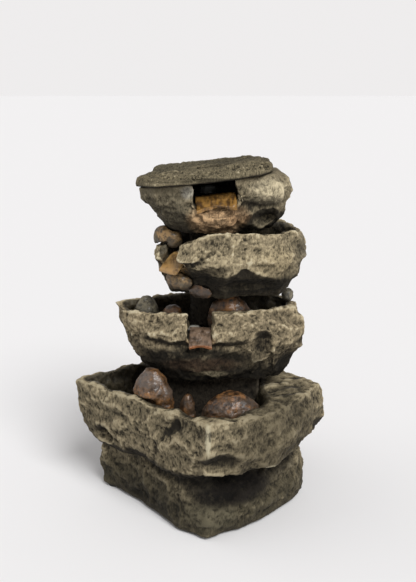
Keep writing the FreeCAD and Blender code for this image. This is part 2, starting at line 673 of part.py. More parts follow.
laid = {}
for name, (tier, offset, spread, heights, turn, neighbours) in STONES.items():
    at = [size(place_text) + shift for place_text, shift in zip(TIER_MIDDLES[tier], offset)]
    solid = stone(at, *spread, size(heights[0]), size(heights[1]), turn)
    tools = [laid.get(neighbour, neighbour) for neighbour in neighbours]
    laid[name] = node(without(rock(solid), *tools), name) if tools else rock(solid, name)

# --------------------------------------------------------------------------------------------------------
# Pump: volute and motor in line along X, the strainer and its flow dial at the intake end
# --------------------------------------------------------------------------------------------------------
PUMP_ROUND = 5
pump_front, pump_back = "riser_y - pump_size / 2", "riser_y + pump_size / 2"
on_axis = ("riser_y", "pump_axis")


def pump_edges(edge):
    """The long outer edges of the pump's square housings."""
    middle = edge.BoundBox.Center
    reach = size("pump_size") / 2 - .1
    along_x = edge.BoundBox.XLength > max(edge.BoundBox.YLength, edge.BoundBox.ZLength)
    return along_x and abs(middle.y - size("riser_y")) > reach and abs(middle.z - size("pump_axis")) > reach


motor_shell = rounded(box(("volute_right", pump_front, "pump_bottom"),
                          ("motor_right", pump_back, "pump_top")), PUMP_ROUND, pump_edges)
cup_outer = "rotor_radius + rotor_gap + rotor_cup_wall"
cup_length = "rotor_length + cup_spare"
inner_low = (f"{pump_front} + pump_wall + corner_rim", "pump_bottom + pump_wall + corner_rim")
inner_high = (f"{pump_back} - pump_wall - corner_rim", "pump_top - pump_wall - corner_rim")
pocket = without(
    box(("volute_right + pump_wall", *inner_low), ("motor_right + overcut", *inner_high)),
    cylinder(cup_outer, f"{cup_length} + rotor_cup_wall", ("volute_right", *on_axis), "x"))
rotor_well = cylinder("rotor_radius + rotor_gap", f"{cup_length} + overcut",
                      ("volute_right - overcut", *on_axis), "x")
node(without(motor_shell, pocket, rotor_well), "pump_housing")

stator = without(
    box(("volute_right + pump_wall", *inner_low), ("motor_right - pump_wall", *inner_high)),
    cylinder(cup_outer, f"{cup_length} + rotor_cup_wall", ("volute_right", *on_axis), "x"))
node(stator, "pump_stator")
node(box(("motor_right - pump_wall", *inner_low), ("motor_right", *inner_high)), "pump_end_cap")

volute_shell = rounded(box(("volute_left", pump_front, "pump_bottom"),
                           ("volute_right", pump_back, "pump_top")), PUMP_ROUND, pump_edges)
nozzle = cylinder("nozzle_radius", "nozzle_height + nozzle_root",
                  ("riser_x", "riser_y", "pump_top - nozzle_root"))
chamber = cylinder("chamber_radius", "volute_length", ("volute_left + volute_front", *on_axis), "x")
nozzle_way = cylinder("nozzle_bore", "nozzle_height + pump_size", ("riser_x", *on_axis))
bush_seat = cylinder("bush_radius", "bush_length + overcut",
                     ("volute_left + volute_front - bush_length", *on_axis), "x")
intake_ways = [cylinder("intake_radius", "volute_front + 2 * overcut",
                        ("volute_left - overcut", f"riser_y + intake_circle * ({math.cos(turn):.4f})",
                         f"pump_axis + intake_circle * ({math.sin(turn):.4f})"), "x")
               for turn in (math.radians(45 + 60 * n) for n in range(6))]
node(without(joined(volute_shell, nozzle), chamber, nozzle_way, bush_seat, *intake_ways), "pump_volute")

shaft_start = "volute_left + volute_front - bush_length"
shaft_end = f"volute_right + {cup_length}"
node(cylinder("shaft_radius", f"{shaft_end} - ({shaft_start})", (shaft_start, *on_axis), "x"), "rotor_shaft")
ring_profile = [("shaft_radius", "0"), ("bush_radius", "0"), ("bush_radius", "bush_length"),
                ("shaft_radius", "bush_length")]
node(turned(ring_profile, (shaft_start, *on_axis), "x"), "front_bush")
node(turned(ring_profile, (f"{shaft_end} - bush_length", *on_axis), "x"), "rear_bush")

magnet_start = "volute_right + rotor_end_gap"
node(without(cylinder("rotor_radius", "rotor_length - rotor_end_gap", (magnet_start, *on_axis), "x"),
             cylinder("shaft_radius + shaft_gap", "rotor_length + 2 * overcut",
                      ("volute_right - overcut", *on_axis), "x")), "rotor_magnet")
impeller_start = "volute_right + rotor_end_gap - impeller_length"
hub = cylinder("hub_radius", "impeller_length", (impeller_start, *on_axis), "x")
back_plate = cylinder("impeller_radius", "plate_thick", ("volute_right - plate_setback", *on_axis), "x")
vanes = []
for n in range(6):
    vane = box(("0", "0", "0"),
               ("impeller_length - vane_relief", "impeller_radius - vane_inset", "vane_thick"))
    place(vane, (impeller_start, *on_axis))
    vane.Placement = FreeCAD.Placement(vane.Placement.Base, FreeCAD.Rotation(Vector(1, 0, 0), 60 * n))
    vanes.append(vane)
node(without(joined(hub, back_plate, *vanes),
             cylinder("shaft_radius + shaft_gap", "impeller_length + 2 * overcut",
                      (f"{impeller_start} - overcut", *on_axis), "x")), "impeller")

strainer_right = "volute_left - slide_gap"
strainer_left = f"{strainer_right} - strainer_length"
strainer_shell = rounded(box((strainer_left, pump_front, "pump_bottom"),
                             (strainer_right, pump_back, "pump_top")), PUMP_ROUND, pump_edges)
strainer_space = box((f"{strainer_left} + strainer_wall", f"{pump_front} + strainer_wall + corner_rim",
                      "pump_bottom + strainer_wall + corner_rim"),
                     (f"{strainer_right} + overcut", f"{pump_back} - strainer_wall - corner_rim",
                      "pump_top - strainer_wall - corner_rim"))
SLOT_PLACES = (-10.5, -6.5, 6.5, 10.5)  # across the intake, from its middle
slots = [box((f"{strainer_left} - overcut", f"riser_y + {y} - slot_width / 2", "pump_bottom + slot_margin"),
             (f"{strainer_left} + overcut", f"riser_y + {y} + slot_width / 2", "pump_top - slot_margin"))
         for y in SLOT_PLACES]
dial_hole = cylinder("dial_stub + shaft_gap", "strainer_wall + 2 * overcut",
                     (f"{strainer_left} - overcut", *on_axis), "x")
node(without(strainer_shell, strainer_space, dial_hole, *slots), "intake_strainer")

dial_left = f"{strainer_left} - slide_gap - dial_thick"
behind_wall = "dial_thick + strainer_wall + 2 * slide_gap"
dial_profile = [("0", "0"), ("dial_radius", "0"), ("dial_radius", "dial_thick"), ("dial_stub", "dial_thick"),
                ("dial_stub", behind_wall), ("dial_flange", behind_wall),
                ("dial_flange", f"{behind_wall} + dial_flange_thick"),
                ("0", f"{behind_wall} + dial_flange_thick")]
dial_window = box((f"{dial_left} - overcut", "riser_y + window_start", "pump_axis - window_height / 2"),
                  (f"{dial_left} + dial_thick", "riser_y + dial_radius + overcut",
                   "pump_axis + window_height / 2"))
dial_grip = box((f"{dial_left} - dial_grip_rise", "riser_y - dial_grip_width / 2",
                 "pump_axis - dial_grip_length / 2"),
                (f"{dial_left} + dial_grip_root", "riser_y + dial_grip_width / 2",
                 "pump_axis + dial_grip_length / 2"))
node(without(joined(turned(dial_profile, (dial_left, *on_axis), "x"), dial_grip), dial_window), "flow_dial")

foot_profile = [("0", "0"), ("pump_foot_radius", "0"), ("pump_foot_radius", "foot_rim"),
                ("pump_foot_radius / 2", "pump_foot_height"), ("0", "pump_foot_height")]
group("pump_feet", [turned(foot_profile, (x, y, "well_floor"))
                    for x in ("volute_left + foot_inset_intake", "motor_right - foot_inset_motor")
                    for y in (f"{pump_front} + foot_inset_side", f"{pump_back} - foot_inset_side")])

gland_place = ("riser_x + gland_along", f"{pump_front} + gland_inset")
gland_profile = [("lead_radius", "0"), ("gland_radius", "0"), ("gland_radius", "gland_rim"),
                 ("lead_radius + gland_neck", "gland_height"), ("lead_radius", "gland_height")]
node(turned(gland_profile, (*gland_place, "pump_top")), "pump_gland")

# --------------------------------------------------------------------------------------------------------
# Riser tube
# --------------------------------------------------------------------------------------------------------
tube_length = "upper_pool + collar_height + tube_end - (pump_top)"
node(without(cylinder("tube_radius", tube_length, ("riser_x", "riser_y", "pump_top")),
             cylinder("tube_bore", f"{tube_length} + 2 * overcut",
                      ("riser_x", "riser_y", "pump_top - overcut"))),
     "riser_tube")

# --------------------------------------------------------------------------------------------------------
# Lights: a housing, a board and a domed lens in each pool
# --------------------------------------------------------------------------------------------------------
board_seat = "light_height - board_drop"


def light(name):
    away, pool = LIGHTS[name]
    middle = (f"riser_x + {away.x}", f"riser_y + {away.y}", pool)
    cup = turned([("0", "0"), ("light_radius", "0"), ("light_radius", "light_height"),
                  ("lens_radius", "light_height"), ("lens_radius", board_seat), ("0", board_seat)], middle)
    node(cup, f"{name}_light_housing")
    board = cylinder("lens_radius", "board_thick", (middle[0], middle[1], f"{pool} + {board_seat}"))
    node(board, f"{name}_light_board")
    lens = turned([("0", "0"), ("lens_radius", "0"), ("lens_radius", "board_drop - board_thick"),
                   ("lens_radius * lens_shoulder",
                    "board_drop - board_thick + lens_rise * lens_shoulder_rise"),
                   ("0", "board_drop - board_thick + lens_rise")],
                  (middle[0], middle[1], f"{pool} + {board_seat} + board_thick"))
    node(lens, f"{name}_light_lens")


for name in LIGHTS:
    light(name)


# --------------------------------------------------------------------------------------------------------
# Leads: round cable along straight runs joined by tangent arcs
# --------------------------------------------------------------------------------------------------------
def rounded_path(points):
    """A wire through the points, each corner an arc as large as its two runs allow."""
    edges, start = [], points[0]
    for before, corner, after in zip(points, points[1:], points[2:]):
        back, ahead = (before - corner), (after - corner)
        shorter = min(back.Length, ahead.Length)
        half_turn = (math.pi - back.getAngle(ahead)) / 2
        cut = .45 * shorter
        radius = cut / math.tan(half_turn)
        print(f"lead bend radius {radius:.1f} mm")
        first, last = corner + back.normalize() * cut, corner + ahead.normalize() * cut
        bisector = (back + ahead).normalize()
        centre_distance = radius / math.cos(half_turn)
        midpoint = corner + bisector * (centre_distance - radius)
        edges += [Part.LineSegment(start, first).toShape(), Part.Arc(first, midpoint, last).toShape()]
        start = last
    edges.append(Part.LineSegment(start, points[-1]).toShape())
    return Part.Wire(edges)


def cable(name, points):
    path = rounded_path(points)
    along = points[1] - points[0]
    section = Part.Wire([Part.makeCircle(size("lead_radius"), points[0], along)])
    solid = path.makePipeShell([section], True, False)
    expected = math.pi * size("lead_radius") ** 2 * path.Length
    if abs(solid.Volume / expected - 1) > .02:
        raise ValueError(f"{name}: the swept volume is off")
    return rock(solid, name)


SPLITTER_ENTRY = {"upper": 5.0, "lower": -2.0, "middle": -9.0}  # along X from the riser
splitter_top = size("pool_floor + splitter_lift + splitter_height")
splitter_entry_y = size("splitter_front") + size("splitter_depth") / 2
for name, (away, pool) in LIGHTS.items():
    riser = Vector(size("riser_x"), size("riser_y"), 0)
    out = Vector(away).normalize()
    height = size(f"{pool} + lead_height")
    reach = size("tube_radius + lead_radius + lead_gap")
    at_light = riser + out * (away.Length - size("light_radius")) + Vector(0, 0, height)
    turn_down = riser + out * reach + Vector(0, 0, height)
    leave = Vector(turn_down.x, turn_down.y, size("lower_base - lead_set_down"))
    enter = Vector(size("riser_x") + SPLITTER_ENTRY[name], splitter_entry_y, splitter_top)
    over_entry = enter + Vector(0, 0, size("lead_entry_run"))
    cable(f"{name}_light_lead", [at_light, turn_down, leave, over_entry, enter])

splitter_low = ("riser_x - splitter_start", "splitter_front", "pool_floor + splitter_lift")
splitter_high = ("riser_x - splitter_start + splitter_length", "splitter_front + splitter_depth",
                 "pool_floor + splitter_lift + splitter_height")
cord_socket = cylinder("cord_radius", "socket_depth + overcut",
                       ("riser_x + socket_along", "splitter_front + splitter_depth - socket_depth",
                        "pool_floor + splitter_lift + socket_height"), "y")
node(without(box(splitter_low, splitter_high), cord_socket), "lead_splitter")
node(cylinder("lead_radius", "pool_floor + splitter_lift - (pump_top)", (*gland_place, "pump_top")),
     "pump_lead")

# --------------------------------------------------------------------------------------------------------
# Check everything, then write one STEP file for each node
# --------------------------------------------------------------------------------------------------------
doc.recompute()
failed = [obj.Label for obj in doc.Objects if {"Invalid", "Error"} & set(obj.State)]
if failed:
    raise RuntimeError(f"objects that did not build: {failed}")
os.makedirs("parts", exist_ok=True)
for obj in NODES:
    shape = obj.Shape
    if shape.isNull() or not shape.isValid() or not shape.Solids:
        raise RuntimeError(f"{obj.Label} has no valid solid")
    shape.exportStep(f"parts/{obj.Label}.step")
    print(f"{obj.Label}: {len(shape.Solids)} solids, {sum(s.Volume for s in shape.Solids) / 1000:.2f} cm3")
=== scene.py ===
import math

import bmesh
import bpy
import numpy as np
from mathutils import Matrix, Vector


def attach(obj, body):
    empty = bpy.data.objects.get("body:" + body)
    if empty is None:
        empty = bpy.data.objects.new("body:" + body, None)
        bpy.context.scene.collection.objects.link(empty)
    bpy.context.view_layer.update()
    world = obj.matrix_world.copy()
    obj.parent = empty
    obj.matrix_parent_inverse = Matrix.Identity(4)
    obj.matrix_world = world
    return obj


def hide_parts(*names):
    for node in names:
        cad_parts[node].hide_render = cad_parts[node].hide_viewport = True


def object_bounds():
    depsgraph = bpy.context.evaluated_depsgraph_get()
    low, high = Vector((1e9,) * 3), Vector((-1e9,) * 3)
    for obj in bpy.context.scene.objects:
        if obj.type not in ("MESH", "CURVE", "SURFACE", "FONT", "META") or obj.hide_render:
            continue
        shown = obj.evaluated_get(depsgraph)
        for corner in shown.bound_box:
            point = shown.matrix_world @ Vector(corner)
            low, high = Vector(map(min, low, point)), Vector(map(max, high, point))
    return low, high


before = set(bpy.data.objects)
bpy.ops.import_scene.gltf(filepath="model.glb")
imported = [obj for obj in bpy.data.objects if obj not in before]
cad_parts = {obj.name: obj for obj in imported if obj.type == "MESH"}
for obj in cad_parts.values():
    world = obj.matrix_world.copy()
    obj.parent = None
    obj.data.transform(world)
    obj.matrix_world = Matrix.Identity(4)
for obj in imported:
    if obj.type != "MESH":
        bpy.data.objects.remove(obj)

# The looks of the tabletop fountain: rough cast rock, wet river stones, stained lips and working parts.
# The scene is in metres. Places and sizes below are written in millimetres and turned by MM.
# +X is to the right, -Y to the front and +Z up.
cad_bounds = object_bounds()
MM = 0.001
scene = bpy.context.scene
scene.view_settings.view_transform = "Standard"

# --------------------------------------------------------------------------------------------------------
# Camera, light and floor
# --------------------------------------------------------------------------------------------------------
CAMERA_PLACE = (7 * MM, -599.5 * MM, 332.6 * MM)
CAMERA_PITCH = 14.8  # degrees below the horizon
CAMERA_LENS = 47.26
CAMERA_SENSOR = 36
PALE = (0.86, 0.845, 0.845)
ROOM_LIGHT = 0.45  # the room's strength as a light, where 1 is how it looks
FLOOR_RADIUS = 40  # metres, past the edge of every view

camera_data = bpy.data.cameras.new("camera")
camera_data.lens = CAMERA_LENS
camera_data.sensor_width = CAMERA_SENSOR
camera_data.clip_start = 10 * MM
camera = bpy.data.objects.new("camera", camera_data)
camera.location = CAMERA_PLACE
camera.rotation_euler = (math.radians(90 - CAMERA_PITCH), 0, 0)
scene.collection.objects.link(camera)
scene.camera = camera


def soft_sun(name, comes_from, strength, spread):
    """Even light from one direction, spread over an angle in degrees as a large soft box spreads it."""
    data = bpy.data.lights.new(name, "SUN")
    data.energy = strength
    data.angle = math.radians(spread)
    lamp = bpy.data.objects.new(name, data)
    lamp.rotation_euler = Vector(comes_from).to_track_quat("Z", "Y").to_euler()
    scene.collection.objects.link(lamp)


soft_sun("key", comes_from=(0.45, -0.75, 0.9), strength=2.6, spread=30)
soft_sun("fill", comes_from=(-0.9, 0.2, 0.8), strength=0.4, spread=60)


# --------------------------------------------------------------------------------------------------------
# Node trees written as expressions
# --------------------------------------------------------------------------------------------------------
def is_vector(value):
    if isinstance(value, Value):
        return value.socket.type in {"VECTOR", "RGBA"}
    return isinstance(value, (tuple, Vector))


class Value:
    """A node's socket in an expression: each operator adds its Math or Vector Math node."""

    def __init__(self, tree, socket):
        self.tree, self.socket = tree, socket

    def combine(self, operation, first, second):
        if not (is_vector(first) or is_vector(second)):
            return self.tree.add("ShaderNodeMath", {"operation": operation}, {0: first, 1: second})[0]
        if operation == "MULTIPLY" and not (is_vector(first) and is_vector(second)):
            vector, number = (first, second) if is_vector(first) else (second, first)
            return self.tree.add("ShaderNodeVectorMath", {"operation": "SCALE"}, {0: vector, 3: number})[0]
        return self.tree.add("ShaderNodeVectorMath", {"operation": operation}, {0: first, 1: second})[0]

    def __add__(self, other):
        return self.combine("ADD", self, other)

    def __radd__(self, other):
        return self.combine("ADD", other, self)

    def __sub__(self, other):
        return self.combine("SUBTRACT", self, other)

    def __rsub__(self, other):
        return self.combine("SUBTRACT", other, self)

    def __mul__(self, other):
        return self.combine("MULTIPLY", self, other)

    def __rmul__(self, other):
        return self.combine("MULTIPLY", other, self)

    def __truediv__(self, other):
        return self.combine("DIVIDE", self, other)

    def __pow__(self, other):
        return self.combine("POWER", self, other)

    def __abs__(self):
        return self.tree.add("ShaderNodeMath", {"operation": "ABSOLUTE"}, {0: self})[0]

    def atleast(self, other):
        return self.combine("MAXIMUM", self, other)

    def atmost(self, other):
        return self.combine("MINIMUM", self, other)

    def dot(self, other):
        made = self.tree.add("ShaderNodeVectorMath", {"operation": "DOT_PRODUCT"}, {0: self, 1: other})
        return made["Value"]

    def length(self):
        return self.tree.add("ShaderNodeVectorMath", {"operation": "LENGTH"}, {0: self})["Value"]

    def ramp(self, low, high, to_low=0.0, to_high=1.0):
        """The value mapped smoothly from one range to another, and held at its ends."""
        made = self.tree.add("ShaderNodeMapRange", {"interpolation_type": "SMOOTHSTEP"},
                             {"Value": self, "From Min": low, "From Max": high,
                              "To Min": to_low, "To Max": to_high})
        return made[0]


class Outputs:
    """A node's outputs, by name or place, as values."""

    def __init__(self, tree, node):
        self.tree, self.node = tree, node

    def __getitem__(self, key):
        return Value(self.tree, self.node.outputs[key])


class Tree:
    """A node tree that adds any node from its type, its settings and the values of its sockets."""

    def __init__(self, nodes):
        self.nodes = nodes

    def add(self, kind, settings, inputs):
        node = self.nodes.nodes.new(kind)
        for name, setting in settings.items():
            setattr(node, name, setting)
        for key, value in inputs.items():
            if isinstance(value, Value):
                self.nodes.links.new(value.socket, node.inputs[key])
            else:
                node.inputs[key].default_value = value
        return Outputs(self, node)

    def noise(self, at, grain, detail=4.0, roughness=0.55):
        """Noise whose lumps are about one grain across: its number is from 0 to 1."""
        return self.add("ShaderNodeTexNoise", {},
                        {"Vector": at, "Scale": grain ** -1, "Detail": detail, "Roughness": roughness})

    def mix(self, share, first, second):
        """The second colour laid over the first by a share."""
        first, second = [(*c, 1) if isinstance(c, tuple) and len(c) == 3 else c for c in (first, second)]
        return self.add("ShaderNodeMix", {"data_type": "RGBA"}, {0: share, 6: first, 7: second})[2]


# --------------------------------------------------------------------------------------------------------
# The studio round the object: a pale room, dimmer as a light than it looks
# --------------------------------------------------------------------------------------------------------
world = bpy.data.worlds.new("studio")
world.use_nodes = True
world.node_tree.nodes.clear()
room = Tree(world.node_tree)
seen = room.add("ShaderNodeLightPath", {}, {})["Is Camera Ray"]
glow = room.add("ShaderNodeBackground", {},
                {"Color": (*PALE, 1), "Strength": seen * (1 - ROOM_LIGHT) + ROOM_LIGHT})
room.add("ShaderNodeOutputWorld", {}, {"Surface": glow[0]})
scene.world = world

# --------------------------------------------------------------------------------------------------------
# Weathering: the rough surface of the cast rock
# --------------------------------------------------------------------------------------------------------
# Sizes and depths are in millimetres. Edge Wear, Chip Slope and the pool's wetness, which also brings painted
# shade, are shares.
WEATHERING_SIZES = {
    "Edge Wear": 0.7, "Fold Size": 34.0, "Fold Depth": 17.0, "Chip Size": 24.0, "Chip Slope": 0.03,
    "Layer Size": 11.0, "Layer Depth": 1.9, "Lump Size": 8.0, "Lump Depth": 2.3, "Crack Size": 60.0,
    "Crack Depth": 0.8, "Pit Size": 3.2, "Pit Depth": 1.0, "Most Proud": 0.8, "Wetness And Shade": 0.0,
}
WEATHERING_PLACES = ("Seed", "Low Corner", "High Corner", "Pool Middle", "Calm Middle", "Calm Half",
                     "Bed Normal")
UP = (0.0, 0.0, 1.0)
HALF_GREY = (0.5, 0.5, 0.5)  # the middle of a noise's colour, which makes it a push either way


def weathering_tree():
    """Worn edges, folds, chips, layers, lumps, cracks and pits over a skin.

    How proud each point stands is kept as "edge" and "ridge", what faces down as "under", and what faces the
    pool, for its wet gloss and painted shade. The calm box stays nearly smooth, and nothing passes the bed
    that a neighbour rests on.
    """
    group = bpy.data.node_groups.new("weathering", "GeometryNodeTree")
    sockets = group.interface
    sockets.new_socket("Geometry", in_out="INPUT", socket_type="NodeSocketGeometry")
    for name, default in WEATHERING_SIZES.items():
        sockets.new_socket(name, in_out="INPUT", socket_type="NodeSocketFloat").default_value = default
    for name in WEATHERING_PLACES:
        sockets.new_socket(name, in_out="INPUT", socket_type="NodeSocketVector")
    sockets.new_socket("Bed Height", in_out="INPUT", socket_type="NodeSocketFloat").default_value = 1
    sockets.new_socket("Finish", in_out="INPUT", socket_type="NodeSocketMaterial")
    sockets.new_socket("Geometry", in_out="OUTPUT", socket_type="NodeSocketGeometry")

    tree = Tree(group)
    given = tree.add("NodeGroupInput", {}, {})
    place = tree.add("GeometryNodeInputPosition", {}, {})[0]
    normal = tree.add("GeometryNodeInputNormal", {}, {})[0]

    def blurred(value, times):
        return tree.add("GeometryNodeBlurAttribute", {"data_type": "FLOAT_VECTOR"},
                        {"Value": value, "Iterations": times})[0]

    def set_position(geometry, position):
        return tree.add("GeometryNodeSetPosition", {}, {"Geometry": geometry, "Position": position})[0]

    def keep(geometry, name, value):
        return tree.add("GeometryNodeStoreNamedAttribute", {"data_type": "FLOAT", "domain": "POINT"},
                        {"Geometry": geometry, "Name": name, "Value": value})[0]

    # What faces down, and what faces the pool from no deeper than the pool is
    facing = blurred(normal, 6)
    geometry = keep(given["Geometry"], "under", (facing * -1).dot(UP).ramp(0.05, 0.85))
    to_pool = given["Pool Middle"] - place
    wet_and_shade = (to_pool.dot(facing) / MM).ramp(1.5, 8.0) * to_pool.dot(UP).ramp(36 * MM, 44 * MM, 1.0, 0.0)
    geometry = keep(geometry, "wet_and_shade", wet_and_shade * given["Wetness And Shade"])

    # Edges worn round, more in some places than in others
    at = place + given["Seed"]
    wear = tree.noise(at, 14 * MM)[0].ramp(0.3, 0.6, 0.35, 1.0) * given["Edge Wear"]
    geometry = set_position(geometry, place + (blurred(place, 12) - place) * wear)

    # How proud the surface stands, in millimetres
    swirled = at + (tree.noise(at, 45 * MM)["Color"] - HALF_GREY) * (18 * MM)
    fold = 0.03 - abs(tree.noise(swirled * (1.0, 1.0, 1.35), given["Fold Size"] * MM, 1.5, 0.4)[0] - 0.5)
    cell = tree.add("ShaderNodeTexVoronoi", {"feature": "F1"},
                    {"Vector": swirled, "Scale": (given["Chip Size"] * MM) ** -1.0})
    tilt = (cell["Color"] - HALF_GREY).dot(swirled - cell["Position"]) / MM
    layer = tree.noise(swirled * (0.28, 0.28, 1.0), given["Layer Size"] * MM, 3.0)[0] - 0.5
    lump = tree.noise(at, given["Lump Size"] * MM, 5.0, 0.6)[0] - 0.5
    crack = abs(tree.noise(swirled + (0.7, 0.2, 0.4), given["Crack Size"] * MM, 3.0, 0.55)[0] - 0.5)
    broken = tree.noise(at + (0.1, 0.9, 0.3), 26 * MM, 2.0)[0].ramp(0.54, 0.62)
    pits = tree.noise(at, given["Pit Size"] * MM, 3.0, 0.6)[0].ramp(0.45, 0.72)
    proud = (fold * given["Fold Depth"] + tilt * given["Chip Slope"] * 2 + layer * given["Layer Depth"] * 2
             + lump * given["Lump Depth"] * 2 - crack.ramp(0.022, 0.0) * broken * given["Crack Depth"]
             - pits * given["Pit Depth"]).atmost(given["Most Proud"])

    # Little of it is left in the calm box, near the ground and near the bed
    off = (place - given["Calm Middle"]) / given["Calm Half"]
    off = off * off
    off = off * off
    share = (off * off).dot((1.0, 1.0, 1.0)).ramp(1.0, 1.6, 0.1, 1.0)
    share = share * place.dot(UP).ramp(2 * MM, 12 * MM, 0.15, 1.0)
    share = share * (given["Bed Height"] - place.dot(given["Bed Normal"])).ramp(1 * MM, 8 * MM, 0.1, 1.0)
    moved = place + normal * (proud * share * MM)
    moved = moved.atleast(given["Low Corner"]).atmost(given["High Corner"])
    past = (moved.dot(given["Bed Normal"]) - given["Bed Height"]).atleast(0.0)
    geometry = set_position(geometry, moved - given["Bed Normal"] * past)

    for name, times in (("edge", 4), ("ridge", 20)):
        geometry = keep(geometry, name, (place - blurred(place, times)).dot(normal) / MM)
    geometry = tree.add("GeometryNodeRealizeInstances", {}, {"Geometry": geometry})[0]
    geometry = tree.add("GeometryNodeSetMaterial", {},
                        {"Geometry": geometry, "Material": given["Finish"]})[0]
    tree.add("NodeGroupOutput", {}, {"Geometry": geometry})
    return group


WEATHERING = weathering_tree()
FAR = 900  # millimetres, well past every piece
NO_CALM = ((0, 0, -FAR), (1, 1, 1))
NO_BED = ((0, 0, 1), FAR)
GROUND_GAP = 0.3  # no rock comes nearer to the ground than this
DOUBLES = 0.001  # corners closer than this are one corner


def new_object(name, mesh):
    """A mesh put in the scene at the origin, unturned."""
    made = bpy.data.objects.new(name, mesh)
    scene.collection.objects.link(made)
    return made


def baked(source, name):
    """The evaluated mesh of an object as a plain object of its own, and the source gone."""
    graph = bpy.context.evaluated_depsgraph_get()
    mesh = bpy.data.meshes.new_from_object(source.evaluated_get(graph))
    bpy.data.objects.remove(source)
    mesh.name = name
    return new_object(name, mesh)


def skin_of(node, voxel):
    """An even skin of small faces over a CAD node."""
    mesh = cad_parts[node].data.copy()
    merged = bmesh.new()
    merged.from_mesh(mesh)
    bmesh.ops.remove_doubles(merged, verts=merged.verts, dist=DOUBLES * MM)
    merged.to_mesh(mesh)
    merged.free()
    made = new_object(node + "_form", mesh)
    remesh = made.modifiers.new("skin", "REMESH")
    remesh.mode = "VOXEL"
    remesh.voxel_size = voxel * MM
    return baked(made, node + "_skin")


def in_metres(point):
    """A place or size in millimetres, in the scene's metres."""
    return tuple(c * MM for c in point)


def weathered(node, voxel, look, seed, strokes=(), body="fountain", slot="cast_rock", pool=None,
              calm=NO_CALM, bed=NO_BED, **sizes):
    """A rough piece over a CAD rock: its skin, shaped by strokes, then weathered.

    A pool is the middle of the water, calm a box's middle and half sizes, and a bed a normal and a height.
    """
    skin = skin_of(node, voxel)
    if strokes:
        shape(skin.data, strokes)
    modifier = skin.modifiers.new("weathering", "NODES")
    modifier.node_group = WEATHERING
    values = {
        "Seed": (seed * 0.37, seed * 0.61, seed * 0.23), "Finish": look,
        "Low Corner": (cad_bounds[0][0], cad_bounds[0][1], GROUND_GAP * MM),
        "High Corner": tuple(cad_bounds[1]),
        "Pool Middle": in_metres(pool or (0, 0, 0)), "Wetness And Shade": 1.0 if pool else 0.0,
        "Calm Middle": in_metres(calm[0]), "Calm Half": in_metres(calm[1]),
        "Bed Normal": bed[0], "Bed Height": bed[1] * MM,
    }
    values.update({name.replace("_", " ").title(): float(size) for name, size in sizes.items()})
    for item in WEATHERING.interface.items_tree:
        if item.in_out == "INPUT" and item.name in values:
            modifier[item.identifier] = values[item.name]
    piece = baked(skin, node + "_rough")
    piece.data.shade_smooth()
    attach(piece, body)
    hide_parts(node)


# --------------------------------------------------------------------------------------------------------
# Strokes: dents, bulges, ridges and cracks worked into a skin, in millimetres
# --------------------------------------------------------------------------------------------------------
def smooth(share):
    """0 to 1 with a soft start and end, and held past them."""
    share = np.clip(share, 0, 1)
    return share * share * (3 - 2 * share)


def push(centre, radii, by):
    """A dent or bulge: what lies in an ellipsoid moves by a vector."""
    def stroke(points, normals):
        away = np.linalg.norm((points - np.array(centre)) / np.array(radii), axis=1)
        return smooth(1 - away)[:, None] * np.array(by)
    return stroke


def line(path, width, height):
    """A ridge along a path, or a crack where the height is negative. It fades at its two ends."""
    def stroke(points, normals):
        nearest = np.full(len(points), 1e9)
        for start, end in zip(np.array(path[:-1], float), np.array(path[1:], float)):
            along = end - start
            share = np.clip((points - start) @ along / (along @ along), 0, 1)
            nearest = np.minimum(nearest, np.linalg.norm(points - start - share[:, None] * along, axis=1))
        ends = np.minimum(np.linalg.norm(points - np.array(path[0]), axis=1),
                          np.linalg.norm(points - np.array(path[-1]), axis=1))
        strength = np.exp(-(nearest / width) ** 2) * (0.25 + 0.75 * smooth(ends / (4 * width)))
        return normals * (height * strength)[:, None]
    return stroke


def shape(mesh, strokes):
    """Each stroke in turn, worked from the corners and normals that the last one left."""
    count = len(mesh.vertices)
    points = np.empty(count * 3)
    normals = np.empty(count * 3)
    for stroke in strokes:
        mesh.vertices.foreach_get("co", points)
        mesh.vertices.foreach_get("normal", normals)
        moved = points.reshape(-1, 3) / MM
        moved = moved + stroke(moved, normals.reshape(-1, 3))
        mesh.vertices.foreach_set("co", (moved * MM).ravel())
        mesh.update()


# --------------------------------------------------------------------------------------------------------
# Finishes
# --------------------------------------------------------------------------------------------------------
def finish(name, paint, **constants):
    """A material: paint() gives the values that vary, and the constants go on the shader's own sockets."""
    material = bpy.data.materials.new(name)
    material.use_nodes = True
    tree = Tree(material.node_tree)
    material.node_tree.nodes.clear()
    at = tree.add("ShaderNodeTexCoord", {}, {})["Object"]
    shader = tree.add("ShaderNodeBsdfPrincipled", {}, {**constants, **paint(tree, at)})
    tree.add("ShaderNodeOutputMaterial", {}, {"Surface": shader[0]})
    return material


def bump(tree, height, depth):
    """A normal from a height of 0 to 1, as deep as given in millimetres."""
    return tree.add("ShaderNodeBump", {}, {"Height": height, "Distance": depth * MM, "Strength": 1.0})[0]


def spot(at, centre, radii):
    """1 at a place, falling to 0 at an ellipsoid round it."""
    inverse = tuple(1 / r for r in in_metres(radii))
    return (1 - ((at - in_metres(centre)) * inverse).length()).ramp(0, 0.5)


def attribute(tree, name):
    """A number that the weathering kept on the surface."""
    return tree.add("ShaderNodeAttribute", {"attribute_name": name}, {})["Fac"]


